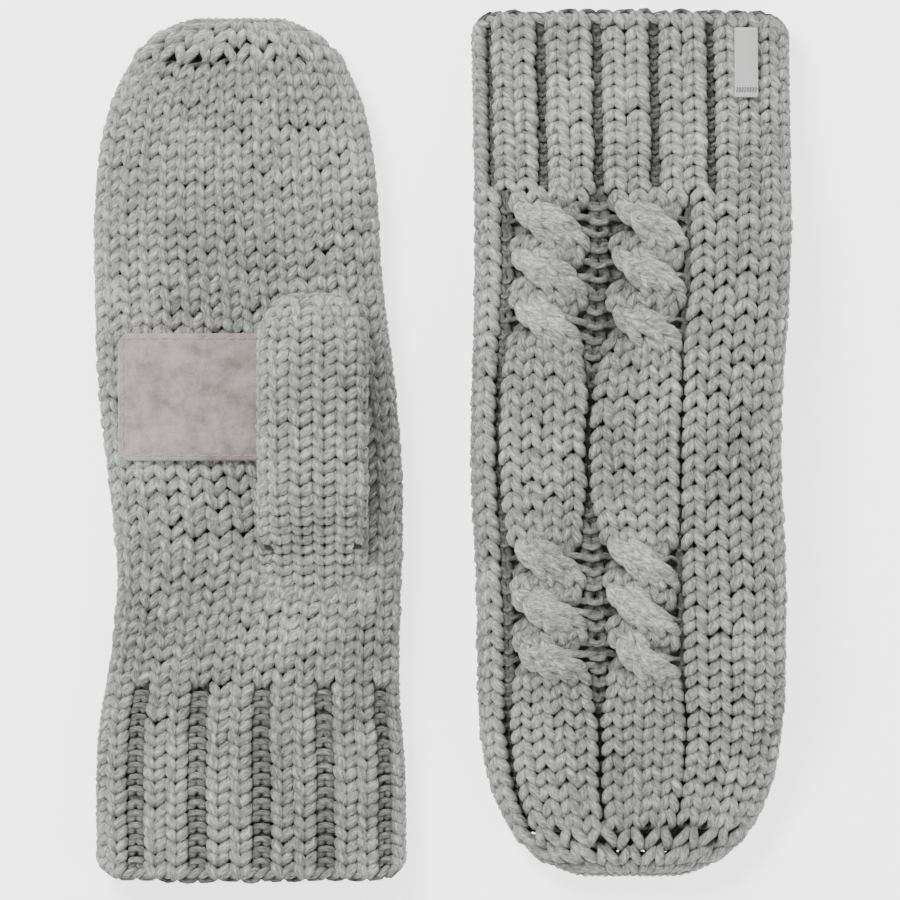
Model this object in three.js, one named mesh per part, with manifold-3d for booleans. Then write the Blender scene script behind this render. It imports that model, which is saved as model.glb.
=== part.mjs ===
// A pair of lined, chunky knitted mittens lying flat side by side, in millimetres, +Z up.
// The right-hand mitten lies palm up with its fingers towards +Y. The left-hand mitten lies palm
// down with its fingers towards -Y, and rests on its folded-in thumb, so that its hand arches over it.
//
// Each mitten is made palm up in its own frame: x across, y from the cuff's mouth to the fingertips,
// z up from the back of the hand to the palm, with the thumb at +x. A mitten is then placed as a group.
import * as THREE from "three";
import { mergeVertices } from "three/addons/utils/BufferGeometryUtils.js";
import Module from "manifold-3d";

const wasm = await Module();
wasm.setup();

// Fabric thicknesses, and the gap between two pieces that touch.
const KNIT = 4.5;
const LINING = 2.2;
const THUMB_KNIT = 3.2;
const THUMB_LINING = 1.5;
const PATCH = 1.0;
const TAPE = 0.8;
const THREAD = 0.4;
const GAP = 0.3;

// The hand and cuff, which are one flattened tube.
const BODY_HEIGHT = 22;
const WRIST = 57; // from the cuff's mouth to the end of its ribs
const SQUARENESS = 2.6; // exponent of the superellipse that a cross-section follows
const FLATTENING = 1.06; // how far the section would bulge if it were not pressed flat
const MOUTH_CORNER = 14;
const MOUTH_THREAD = { from: 0.6, to: 1.6 }; // distances behind the mouth
const SEAM_ROOM = 3; // between shell and lining at the sides, where the seam yarn runs
const SEAM_YARN = 1.8;
const SEAM_SETTLE = 0.6; // how far the seam yarn sits inwards of the middle of its room

// The thumb, which turns about the middle of its opening in the palm.
const THUMB_PIVOT = { x: 19, y: 108 };
const THUMB_HALF_WIDTH = 17;
const THUMB_HEIGHT = 16;
const THUMB_REACH = 67; // from the pivot to its tip
const THUMB_RISE = 2.5; // between the palm and the thumb
const COLLAR_RADIUS = 14.5;
const COLLAR_DEPTH = 6.7;
const COLLAR_SEAM = 1.8;
const HOLE_CLEARANCE = 0.4; // round the collar, so that it turns freely

// The suede patch on the palm, the woven label on the cuff's back and the care label inside.
const PATCH_AREA = { left: -39.5, right: 12, low: 124, high: 162.5, corner: 3.5 };
const PATCH_SEAM_INSET = 1.2;
const PATCH_SEAM_WIDTH = 0.9;
const LABEL_AREA = { left: -38.6, right: -31.6, low: 4.5, high: 25.5, corner: 0.4 };
const LABEL_TACK_AREA = { left: -38.1, right: -32.1, low: 22.8, high: 23.8, corner: 0.2 };
const CARE_AREA = { left: -8, right: 8, low: 12, high: 34, corner: 0.5 };

const CUFF_FLEX = 27; // degrees of room for the cuff to bend up at the wrist
const ARCH = 18.5; // how far a mitten's palm stands off the surface where it rests on its thumb

const ARCH_START = 91; // distances from the mouth between which the arch stays level, and where it lands
const ARCH_END = 178;
const ARCH_LANDING = 240;

// How finely the solids are cut.
const SECTION_SIDES = 18;
const THUMB_SIDES = 16;
const COLLAR_SIDES = 24;
const FIRST_STATION = -4; // just outside the mouth
const STATION_STEP = 17;
const TIP_STATIONS = 7;
const TIP_CLOSURE = 0.97; // share of the last quarter turn that the fingertips' outline goes through
const ROUND_END = [0.4, 0.7, 0.92]; // shares of the radius where the thumb's round ends are cut
const FAR = 90; // past the mitten on any side

// left and right are edges of the outline: [distance from the mouth, x] in turn.
const RIGHT_MITTEN = {
  prefix: "right",
  length: 259.3,
  tipStart: 185,
  tipSquareness: 2.8,
  left: [[-10, -46.5], [41, -46.5], [70, -42], [94, -40.5], [146, -45.9], [185, -47.3], [260, -47.3]],
  right: [[-10, 47.3], [30, 47.3], [60, 45.4], [116, 46.4], [146, 44.4], [190, 39.6], [260, 39.6]],
  arch: 0,
  up: 1, // the palm faces up
  place: { x: -57.6, y: -130 },
  cuffLabel: false,
  careLabel: true,
};
const LEFT_MITTEN = {
  prefix: "left",
  length: 260,
  tipStart: 195,
  tipSquareness: 2.8,
  left: [[-10, -48.6], [70, -48.6], [125, -45.6], [172, -47], [262, -46.6]],
  right: [[-10, 48.2], [70, 47], [130, 48.2], [180, 46.4], [262, 46]],
  arch: ARCH,
  up: -1, // the palm faces down
  place: { x: 56.1, y: 130 },
  cuffLabel: true,
  careLabel: false,
};

const MATERIALS = {
  knit: new THREE.MeshStandardMaterial({ color: 0xa3a6a2, roughness: 0.95, metalness: 0 }),
  lining: new THREE.MeshStandardMaterial({ color: 0xb4b3b0, roughness: 1, metalness: 0 }),
  suede: new THREE.MeshStandardMaterial({ color: 0xaca3a1, roughness: 0.9, metalness: 0 }),
  tape: new THREE.MeshStandardMaterial({ color: 0xd4d3d0, roughness: 0.6, metalness: 0 }),
  thread: new THREE.MeshStandardMaterial({ color: 0xb0a8a5, roughness: 0.7, metalness: 0 }),
};

// A closed three.js geometry as a manifold-3d solid.
function solid(geometry) {
  const bare = geometry.clone();
  bare.deleteAttribute("normal");
  bare.deleteAttribute("uv");
  const merged = mergeVertices(bare, 1e-4);
  return new wasm.Manifold(
    new wasm.Mesh({
      numProp: 3,
      vertProperties: merged.attributes.position.array,
      triVerts: new Uint32Array(merged.index.array),
    }),
  );
}

// A manifold-3d solid as a named three.js mesh.
function mesh(name, made, material) {
  const data = made.getMesh();
  const geometry = new THREE.BufferGeometry();
  geometry.setAttribute("position", new THREE.BufferAttribute(data.vertProperties, 3));
  geometry.setIndex(new THREE.BufferAttribute(data.triVerts, 1));
  geometry.computeVertexNormals();
  const built = new THREE.Mesh(geometry, material);
  built.name = name;
  return built;
}

// A solid through rings of points, all with the same number of them, with flat ends.
// The rings follow one another along +y, and each turns clockwise seen from the mouth.
function loft(rings) {
  const count = rings[0].length;
  const last = (rings.length - 1) * count;
  const index = [];
  for (let r = 0; r < last; r += count) {
    for (let i = 0; i < count; i++) {
      const j = (i + 1) % count;
      index.push(r + i, r + count + i, r + j, r + j, r + count + i, r + count + j);
    }
  }
  for (let i = 1; i < count - 1; i++) {
    index.push(0, i, i + 1, last, last + i + 1, last + i);
  }
  const geometry = new THREE.BufferGeometry().setFromPoints(rings.flat());
  geometry.setIndex(index);
  return solid(geometry);
}

// A smooth curve y(x) through points, flat at its ends.
function smoothCurve(points) {
  const slope = points.map((p, i) => {
    if (i === 0 || i === points.length - 1) return 0;
    return (points[i + 1][1] - points[i - 1][1]) / (points[i + 1][0] - points[i - 1][0]);
  });
  return (at) => {
    let i = points.findIndex((p) => p[0] > at) - 1;
    if (i < 0) i = at <= points[0][0] ? 0 : points.length - 2;
    const [x0, y0] = points[i];
    const [x1, y1] = points[i + 1];
    const span = x1 - x0;
    const t = THREE.MathUtils.clamp((at - x0) / span, 0, 1);
    const hermite = [2 * t ** 3 - 3 * t ** 2 + 1, t ** 3 - 2 * t ** 2 + t, 3 * t ** 2 - 2 * t ** 3, t ** 3 - t ** 2];
    return hermite[0] * y0 + hermite[1] * span * slope[i] + hermite[2] * y1 + hermite[3] * span * slope[i + 1];
  };
}

// One cross-section: a superellipse pressed flat above and below.
function section(y, centre, halfWidth, halfHeight, middle, sides) {
  const power = 2 / SQUARENESS;
  const ring = [];
  for (let i = 0; i < sides; i++) {
    const angle = ((i + 0.5) / sides) * 2 * Math.PI;
    const across = Math.sign(Math.cos(angle)) * Math.abs(Math.cos(angle)) ** power;
    const up = Math.sign(Math.sin(angle)) * Math.abs(Math.sin(angle)) ** power * FLATTENING;
    const pressed = THREE.MathUtils.clamp(up, -1, 1);
    ring.push(new THREE.Vector3(centre + halfWidth * across, y, middle + halfHeight * pressed));
  }
  return ring;
}

// The shape of a mitten's hand and cuff: where its edges and its middle height are at each y.
function outline(mitten) {
  const left = smoothCurve(mitten.left);
  const right = smoothCurve(mitten.right);
  const rise = (y, from, to) => THREE.MathUtils.smoothstep(y, from, to);
  return {
    centre: (y) => (left(y) + right(y)) / 2,
    halfWidth: (y) => (right(y) - left(y)) / 2,
    middle: (y) => BODY_HEIGHT / 2 - mitten.arch * (rise(y, 0, ARCH_START) - rise(y, ARCH_END, ARCH_LANDING)),
  };
}

// Stations along a mitten that ends at the given y: [y, how much of its width is left there].
function stations(mitten, end) {
  const found = [];
  for (let y = FIRST_STATION; y < mitten.tipStart - STATION_STEP / 2; y += STATION_STEP) found.push([y, 1]);
  for (let i = 0; i < TIP_STATIONS; i++) {
    const angle = (i / (TIP_STATIONS - 1)) * TIP_CLOSURE * (Math.PI / 2);
    const along = Math.sin(angle) ** (2 / mitten.tipSquareness);
    const across = Math.cos(angle) ** (2 / mitten.tipSquareness);
    found.push([mitten.tipStart + (end - mitten.tipStart) * along, across]);
  }
  return found;
}

// The whole hand and cuff as a solid, taken in by an inset all round and by a further one at the sides.
function body(mitten, inset, sideInset = 0) {
  const shape = outline(mitten);
  const side = inset + sideInset;
  const rings = stations(mitten, mitten.length - side).map(([y, width]) =>
    section(
      y,
      shape.centre(y),
      (shape.halfWidth(y) - side) * width,
      (BODY_HEIGHT / 2 - inset) * Math.sqrt(width),
      shape.middle(y),
      SECTION_SIDES,
    ),
  );
  return loft(rings);
}

// Everything on one side of a mitten's middle height: 1 for the palm, -1 for the back.
function halfOf(mitten, side) {
  const shape = outline(mitten);
  const rings = stations(mitten, mitten.length + 20).map(([y]) => {
    const near = shape.middle(y) + (side * GAP) / 2;
    const far = near + side * FAR;
    const [low, high] = [Math.min(near, far), Math.max(near, far)];
    return [
      new THREE.Vector3(FAR, y, low),
      new THREE.Vector3(FAR, y, high),
      new THREE.Vector3(-FAR, y, high),
      new THREE.Vector3(-FAR, y, low),
    ];
  });
  return loft(rings);
}

// A tall prism over a plan outline.
function prism(shape) {
  const geometry = new THREE.ExtrudeGeometry(shape, { depth: 2 * FAR, bevelEnabled: false, curveSegments: 3 });
  return solid(geometry.translate(0, 0, -FAR));
}

function roundedRectangle({ left, right, low, high, corner }, inset = 0) {
  const [x0, x1, y0, y1] = [left + inset, right - inset, low + inset, high - inset];
  const r = Math.max(corner - inset, 0.2);
  const shape = new THREE.Shape();
  shape.moveTo(x0 + r, y0);
  shape.lineTo(x1 - r, y0);
  shape.absarc(x1 - r, y0 + r, r, -Math.PI / 2, 0);
  shape.lineTo(x1, y1 - r);
  shape.absarc(x1 - r, y1 - r, r, 0, Math.PI / 2);
  shape.lineTo(x0 + r, y1);
  shape.absarc(x0 + r, y1 - r, r, Math.PI / 2, Math.PI);
  shape.lineTo(x0, y0 + r);
  shape.absarc(x0 + r, y0 + r, r, Math.PI, 1.5 * Math.PI);
  return shape;
}

// Where the cuff's mouth lies: straight across, with rounded corners.
function mouth(mitten, x) {
  const shape = outline(mitten);
  const past = Math.abs(x - shape.centre(0)) - (shape.halfWidth(0) - MOUTH_CORNER);
  if (past <= 0) return 0;
  return MOUTH_CORNER - Math.sqrt(Math.max(MOUTH_CORNER ** 2 - Math.min(past, MOUTH_CORNER) ** 2, 0));
}

// A plan area of the cuff, from one distance behind its mouth to another, or to the wrist.
function cuffArea(mitten, from, to) {
  const shape = new THREE.Shape();
  const { centre, halfWidth } = outline(mitten);
  const steps = 14; // along the mouth
  const xs = Array.from({ length: steps + 1 }, (_, i) => centre(0) + halfWidth(0) * (-1 + (2 * i) / steps));
  shape.moveTo(-FAR, MOUTH_CORNER + from);
  for (const x of xs) shape.lineTo(x, mouth(mitten, x) + from);
  shape.lineTo(FAR, MOUTH_CORNER + from);
  if (to === undefined) {
    shape.lineTo(FAR, WRIST - GAP);
    shape.lineTo(-FAR, WRIST - GAP);
  } else {
    shape.lineTo(FAR, MOUTH_CORNER + to);
    for (const x of xs.reverse()) shape.lineTo(x, mouth(mitten, x) + to);
    shape.lineTo(-FAR, MOUTH_CORNER + to);
  }
  return shape;
}

// The room that the cuff's upper wall leaves at the wrist, so that the cuff can bend up.
function flexNotch(mitten) {
  const axis = outline(mitten).middle(WRIST);
  const back = FAR * Math.tan(THREE.MathUtils.degToRad(CUFF_FLEX));
  const wedge = new THREE.Shape();
  wedge.moveTo(WRIST - GAP, axis);
  wedge.lineTo(WRIST - GAP - back, axis + mitten.up * FAR);
  wedge.lineTo(WRIST + 1, axis + mitten.up * FAR);
  wedge.lineTo(WRIST + 1, axis);
  const geometry = new THREE.ExtrudeGeometry(wedge, { depth: 2 * FAR, bevelEnabled: false });
  // The wedge is drawn in y and z, and runs along x.
  geometry.translate(0, 0, -FAR);
  geometry.applyMatrix4(new THREE.Matrix4().set(0, 0, 1, 0, 1, 0, 0, 0, 0, 1, 0, 0, 0, 0, 0, 1));
  return solid(geometry);
}

// A round yarn or thread along a curve.
function yarn(points, diameter, steps) {
  const curve = new THREE.CatmullRomCurve3(points, false, "centripetal");
  const round = new THREE.Shape().absarc(0, 0, diameter / 2, 0, 2 * Math.PI);
  const geometry = new THREE.ExtrudeGeometry(round, {
    steps,
    curveSegments: 3,
    extrudePath: curve,
    bevelEnabled: false,
  });
  return solid(geometry);
}

// The yarn that sews the palm to the back, from the wrist round the fingertips and back.
function sideSeam(mitten) {
  const shape = outline(mitten);
  const inset = KNIT + SEAM_ROOM / 2 + SEAM_SETTLE;
  const path = stations(mitten, mitten.length - inset).filter(([y]) => y > WRIST + 3);
  const at = ([y, width], side) =>
    new THREE.Vector3(
      shape.centre(y) + side * (shape.halfWidth(y) - inset) * width,
      y,
      shape.middle(y),
    );
  const up = path.map((station) => at(station, -1));
  const down = path.map((station) => at(station, 1)).reverse();
  return yarn([...up, ...down], SEAM_YARN, 40);
}

function cylinder(radius, low, high) {
  const geometry = new THREE.CylinderGeometry(radius, radius, high - low, COLLAR_SIDES);
  geometry.rotateX(Math.PI / 2);
  return solid(geometry.translate(THUMB_PIVOT.x, THUMB_PIVOT.y, (low + high) / 2));
}

// The thumb's round-ended outer shape, taken in by an inset, with its underside at z = low.
function thumbBag(low, inset) {
  const half = THUMB_HALF_WIDTH - inset;
  const straight = THUMB_REACH - THUMB_HALF_WIDTH;
  const roundOff = ROUND_END.map((share) => [share * half, Math.sqrt(1 - share ** 2)]);
  const stops = [
    ...roundOff.map(([y, width]) => [-y, width]).reverse(),
    ...[0, 1 / 3, 2 / 3, 1].map((share) => [share * straight, 1]),
    ...roundOff.map(([y, width]) => [straight + y, width]),
  ];
  return loft(
    stops.map(([y, width]) =>
      section(
        THUMB_PIVOT.y + y,
        THUMB_PIVOT.x,
        half * width,
        (THUMB_HEIGHT / 2 - inset) * Math.sqrt(width),
        low + THUMB_HEIGHT / 2,
        THUMB_SIDES,
      ),
    ),
  );
}

// One layer of the thumb: a closed-ended tube whose round opening has a collar down through the palm.
function thumbLayer(low, outerInset, thickness, collarRadius) {
  const bore = collarRadius - thickness;
  const collar = cylinder(collarRadius, low - COLLAR_DEPTH, low + outerInset + thickness / 2);
  return thumbBag(low, outerInset)
    .add(collar)
    .subtract(thumbBag(low, outerInset + thickness))
    .subtract(cylinder(bore, low - FAR, low + THUMB_HEIGHT / 2));
}

// The yarn round the collar, between the palm and the thumb, which sews the thumb on.
function thumbSeam(low) {
  const radius = COLLAR_RADIUS + GAP + COLLAR_SEAM / 2;
  const geometry = new THREE.TorusGeometry(radius, COLLAR_SEAM / 2, 6, COLLAR_SIDES);
  return solid(geometry.translate(THUMB_PIVOT.x, THUMB_PIVOT.y, low - THUMB_RISE / 2));
}

// A thin piece that lies on a mitten's surface over a plan area: its lower side is at an inset.
function sheetOn(mitten, area, side, inset, thickness) {
  const [outer, inner] = [Math.min(inset, inset - thickness), inset];
  return body(mitten, outer).subtract(body(mitten, inner)).intersect(area).intersect(halfOf(mitten, side));
}

function buildMitten(mitten) {
  const group = new THREE.Group();
  const add = (name, made, material) => group.add(mesh(`${mitten.prefix}_${name}`, made, material));

  const palmSide = halfOf(mitten, 1);
  const backSide = halfOf(mitten, -1);
  const beyondWrist = { left: -FAR, right: FAR, low: WRIST + GAP, high: mitten.length + FAR, corner: 1 };
  const handArea = prism(roundedRectangle(beyondWrist));
  const notch = flexNotch(mitten);
  const thumbLow = outline(mitten).middle(THUMB_PIVOT.y) + BODY_HEIGHT / 2 + THUMB_RISE;
  const thumbHole = cylinder(COLLAR_RADIUS + HOLE_CLEARANCE, thumbLow - BODY_HEIGHT / 2, thumbLow);

  // The knitted shell and the fleece bag inside it.
  const shell = body(mitten, 0).subtract(body(mitten, KNIT));
  const bagInset = KNIT + GAP;
  const bag = body(mitten, bagInset, SEAM_ROOM).subtract(body(mitten, bagInset + LINING, SEAM_ROOM));
  const handShell = shell.intersect(handArea);
  const handBag = bag.intersect(handArea);
  add("palm_shell", handShell.intersect(palmSide).subtract(thumbHole), MATERIALS.knit);
  add("back_shell", handShell.intersect(backSide), MATERIALS.knit);
  add("palm_lining", handBag.intersect(palmSide).subtract(thumbHole), MATERIALS.lining);
  add("back_lining", handBag.intersect(backSide), MATERIALS.lining);
  add("side_seam", sideSeam(mitten), MATERIALS.knit);

  // The ribbed cuff, its facing and the thread that joins them.
  const facing = body(mitten, bagInset).subtract(body(mitten, bagInset + LINING));
  add("cuff_rib", shell.intersect(prism(cuffArea(mitten, 0))).subtract(notch), MATERIALS.knit);
  add("cuff_facing", facing.intersect(prism(cuffArea(mitten, MOUTH_THREAD.to + GAP))).subtract(notch), MATERIALS.lining);
  const mouthBand = body(mitten, bagInset).subtract(body(mitten, bagInset + THREAD));
  add("mouth_thread", mouthBand.intersect(prism(cuffArea(mitten, MOUTH_THREAD.from, MOUTH_THREAD.to))), MATERIALS.thread);

  // The patch on the palm with its line of stitching.
  const patchTop = -GAP - PATCH;
  const stitchLine = prism(roundedRectangle(PATCH_AREA, PATCH_SEAM_INSET)).subtract(
    prism(roundedRectangle(PATCH_AREA, PATCH_SEAM_INSET + PATCH_SEAM_WIDTH)),
  );
  add("palm_patch", sheetOn(mitten, prism(roundedRectangle(PATCH_AREA)), 1, -GAP, PATCH), MATERIALS.suede);
  add("patch_stitching", sheetOn(mitten, stitchLine, 1, patchTop - GAP, THREAD), MATERIALS.thread);

  // A blank woven label on the cuff's back, with the tack at its end, or a care label inside.
  if (mitten.cuffLabel) {
    const label = prism(roundedRectangle(LABEL_AREA));
    const tack = prism(roundedRectangle(LABEL_TACK_AREA));
    const labelTop = -GAP - TAPE;
    add("cuff_label", sheetOn(mitten, label, -1, -GAP, TAPE), MATERIALS.tape);
    add("label_tack", sheetOn(mitten, tack, -1, labelTop - GAP, THREAD), MATERIALS.thread);
  }
  if (mitten.careLabel) {
    const label = prism(roundedRectangle(CARE_AREA));
    const careInset = bagInset + LINING + GAP + THREAD;
    add("care_label", sheetOn(mitten, label, 1, careInset, THREAD), MATERIALS.tape);
  }

  // The thumb: its knitted tube, its lining and the yarn that sews it to the palm.
  const thumbBagInset = THUMB_KNIT + GAP;
  add("thumb_shell", thumbLayer(thumbLow, 0, THUMB_KNIT, COLLAR_RADIUS), MATERIALS.knit);
  add(
    "thumb_lining",
    thumbLayer(thumbLow, thumbBagInset, THUMB_LINING, COLLAR_RADIUS - thumbBagInset),
    MATERIALS.lining,
  );
  add("thumb_seam", thumbSeam(thumbLow), MATERIALS.knit);
  return group;
}

const pair = new THREE.Group();
const rightMitten = buildMitten(RIGHT_MITTEN);
rightMitten.position.set(RIGHT_MITTEN.place.x, RIGHT_MITTEN.place.y, 0);
pair.add(rightMitten);

// The left mitten is turned palm down, and end for end.
const leftMitten = buildMitten(LEFT_MITTEN);
leftMitten.rotation.z = Math.PI;
leftMitten.scale.z = -1;
leftMitten.position.set(LEFT_MITTEN.place.x, LEFT_MITTEN.place.y, BODY_HEIGHT);
pair.add(leftMitten);

export default pair;
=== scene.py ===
"""The looks of a pair of lined, chunky knitted mittens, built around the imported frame.

Lengths are millimetres until place() turns them into the frame's metres, but metres in the materials,
the floor, the lights and the camera.
Each mitten is made palm up in its own frame, as in the CAD: x across, y from the cuff's mouth to
the fingertips, z up from the back of the hand to the palm, with the thumb at +x.
"""
import math

import bpy
import numpy as np
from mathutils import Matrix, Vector


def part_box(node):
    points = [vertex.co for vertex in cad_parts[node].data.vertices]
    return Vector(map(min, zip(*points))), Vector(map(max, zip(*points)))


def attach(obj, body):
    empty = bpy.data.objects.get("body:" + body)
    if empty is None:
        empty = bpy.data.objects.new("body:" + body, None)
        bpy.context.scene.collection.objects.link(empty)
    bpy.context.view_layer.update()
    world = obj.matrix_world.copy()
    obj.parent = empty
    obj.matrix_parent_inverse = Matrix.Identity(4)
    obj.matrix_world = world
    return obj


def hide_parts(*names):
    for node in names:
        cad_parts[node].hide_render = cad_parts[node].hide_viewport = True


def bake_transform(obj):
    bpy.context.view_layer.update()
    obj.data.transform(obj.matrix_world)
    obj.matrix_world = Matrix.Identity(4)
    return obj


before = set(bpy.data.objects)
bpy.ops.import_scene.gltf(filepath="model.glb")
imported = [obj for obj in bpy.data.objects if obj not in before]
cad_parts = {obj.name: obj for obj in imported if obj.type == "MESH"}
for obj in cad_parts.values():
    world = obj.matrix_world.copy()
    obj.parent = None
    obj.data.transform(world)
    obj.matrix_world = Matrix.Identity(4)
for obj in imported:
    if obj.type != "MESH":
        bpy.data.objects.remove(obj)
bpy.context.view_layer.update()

TAU = 2 * math.pi
rng = np.random.default_rng(7)

# ------------ dimensions

BODY_HEIGHT = 22.0
WRIST = 57.0
SQUARENESS = 2.6  # the power of the rounded cross-section
FLATTENING = 1.06  # how far the section rises before it is cut off flat
PLAN_SQUARENESS = 2.8  # the power of the fingertips' outline
THUMB_PIVOT = (19.0, 108.0)
THUMB_HALF_WIDTH = 17.0
THUMB_HEIGHT = 16.0
THUMB_REACH = 69.0
THUMB_RISE = 2.5
THUMB_FOOT = 84.0  # where the thumb starts to rise out of the palm
THUMB_CLEAR = 120.0  # where it lies free on top
THUMB_CLOSING = 11.0  # the length over which its tip closes
THUMB_COVER = 5.0  # how far before the pivot its underside starts
THUMB_SQUARENESS = 2.15
THUMB_TIP_SHARE = 0.2
TIP_SHARE = 0.3  # how wide the gathered fingertips end
TIP_CLOSING = 26.0  # the length over which the fingertips close
PATCH_AREA = (-39.5, 12.0, 125.6, 163.8)
PATCH_CORNER = 3.5
PATCH_THICKNESS = 1.0
CARE_TAPE = 0.3  # the care label's thickness
LIP = 2.0  # how much fatter the lining is at the mouth
FLEECE_DEPTH = 7.5  # how far in from the knit's face the lining's inner face lies
THUMB_FLEECE_DEPTH = 5.4
FLEECE_THICKNESS = 1.1
FLEECE_LUMPS = 0.2

# The yarn and the loop that each stitch makes of it.
YARN_RADIUS = 1.76
STITCH = 6.7  # the width of a column
LOOP_BULGE = 1.62  # how far a loop's head spreads past its neck
LOOP_REACH = 0.78  # half the height of a loop, in rows
LOOP_DEPTH = 1.2  # from the middle of the fabric to the middle of the yarn at its face
LOOP_PINCH = 0.5  # how much thinner the yarn is pulled where it turns behind its neighbours
YARN_SIDES = 8
LOOP_STEPS = 14
KNIT_DEPTH = LOOP_DEPTH + YARN_RADIUS  # from the fabric's face to its middle
GATHERED_ROWS = 3
THUMB_PITCH = 3.6
WRIST_BAND = 13.0  # half the length of the band across the wrist
SEAM_RADIUS = 1.35
SEAM_STITCH = 4.1
SEAM_STEP = 0.75  # between the points of the side seam's path
EDGE_RADIUS = 1.05
PURL_LIGHT = 0.55  # how much of a sunk column's painted shade is left out
THUMB_SEAM_RADIUS = 15.5
RIB_START = 0.9
RIB_LOWER = 0.4  # how much deeper the rib lies than the hand's knit
OPEN_HEIGHT = 0.8  # the least height that a yarn's open ends get painted shade for
STITCH_POINTS = 7  # along each sewn stitch
PATCH_SEAM = 1.5  # from the patch's edge to its stitches

# The floor and the camera, in metres.
FLOOR_HEIGHT = -0.0004
CAMERA = (0.0024, -0.0012, 3.0)
SEEN_HALF_WIDTH = 0.135  # half the width that the camera sees
SEEN_HEIGHT = 0.02  # at this height
SENSOR = 36  # millimetres


class Mitten:
    """One mitten's outline and where it lies."""

    def __init__(
        self, prefix, up, length, tip_start, arch, left, right, rib, rib_end, purl, recess, pitches, raised
    ):
        self.prefix = prefix
        self.up = up  # 1 with its palm up, -1 with its palm down
        self.length = length
        self.tip_start = tip_start
        self.arch = arch
        self.left = smooth_curve(left)
        self.right = smooth_curve(right)
        self.rib = rib  # the rib's columns, on the palm (1) and the back (-1)
        self.rib_end = rib_end
        self.purl = purl  # a purl column's width, in plain columns
        self.recess = recess  # how deep it lies
        self.pitches = pitches  # the rows' heights
        self.raised = raised  # how far a crossing stands up
        low, high = [Vector(v) * 1000 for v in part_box(prefix + "_cuff_rib")]
        own = (self.left(0.0) + self.right(0.0)) / 2
        middle = (low.x + high.x) / 2
        # The cuff's box gives the mitten's place: its middle across, and its mouth along.
        self.origin = (middle - up * own, low.y if up > 0 else high.y)

    def centre(self, y):
        return (self.left(y) + self.right(y)) / 2

    def half_width(self, y):
        return (self.right(y) - self.left(y)) / 2

    def middle(self, y):
        rise = smoothstep(y, 0, 91) - smoothstep(y, 178, 240)
        return BODY_HEIGHT / 2 - self.arch * rise

    def place(self, points):
        """Own millimetres to the frame's metres. The left mitten is turned palm down, end for end."""
        points = np.asarray(points, float)
        moved = points * self.up + [self.origin[0], self.origin[1], 0 if self.up > 0 else BODY_HEIGHT]
        return moved / 1000


def smoothstep(x, low, high):
    t = np.clip((np.asarray(x, float) - low) / (high - low), 0, 1)
    return t * t * (3 - 2 * t)


def smooth_curve(points):
    """A smooth curve through points, flat at its ends, as in the CAD."""
    xs = np.array([p[0] for p in points], float)
    ys = np.array([p[1] for p in points], float)
    slope = np.zeros(len(xs))
    slope[1:-1] = (ys[2:] - ys[:-2]) / (xs[2:] - xs[:-2])

    def at(x):
        x = np.asarray(x, float)
        i = np.clip(np.searchsorted(xs, x, side="right") - 1, 0, len(xs) - 2)
        span = xs[i + 1] - xs[i]
        t = np.clip((x - xs[i]) / span, 0, 1)
        return (
            (2 * t**3 - 3 * t**2 + 1) * ys[i]
            + (t**3 - 2 * t**2 + t) * span * slope[i]
            + (3 * t**2 - 2 * t**3) * ys[i + 1]
            + (t**3 - t**2) * span * slope[i + 1]
        )

    return at


RIGHT = Mitten(
    "right", up=1, length=259.3, tip_start=185, arch=0,
    left=[(-10, -46.5), (41, -46.5), (70, -42), (94, -40.5), (146, -45.9), (185, -47.3), (260, -47.3)],
    right=[(-10, 47.3), (30, 47.3), (60, 45.4), (116, 46.4), (146, 44.4), (190, 39.6), (260, 39.6)],
    rib={1: "kkpkkpkkpkkpkkpk", -1: "kkpkkpkkpkkpkkpk"}, rib_end=58.5, purl=0.95, recess=1.1,
    pitches={"palm": 4.1, "back": 4.4, "cuff": 3.6},
    raised=0.4,  # this back lies on the floor, which flattens its cables
)
LEFT = Mitten(
    "left", up=-1, length=260, tip_start=195, arch=18.5,
    left=[(-10, -48.6), (70, -48.6), (125, -45.6), (172, -47), (262, -46.6)],
    right=[(-10, 48.2), (70, 47), (130, 48.2), (180, 46.4), (262, 46)],
    rib={1: "kpkkpkkpkkpkkpkk", -1: "kkkkpkkpkkpkkpkkpk"}, rib_end=53.0, purl=0.5, recess=1.8,
    pitches={"palm": 4.1, "back": 4.5, "cuff": 3.5},
    raised=3.4,
)

# ------------ surfaces


def distances(points):
    """How far along a line each of its points lies."""
    return np.concatenate([[0], np.cumsum(np.linalg.norm(np.diff(points, axis=0), axis=1))])


def unit(vectors):
    return vectors / np.maximum(np.linalg.norm(vectors, axis=-1, keepdims=True), 1e-9)


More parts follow.
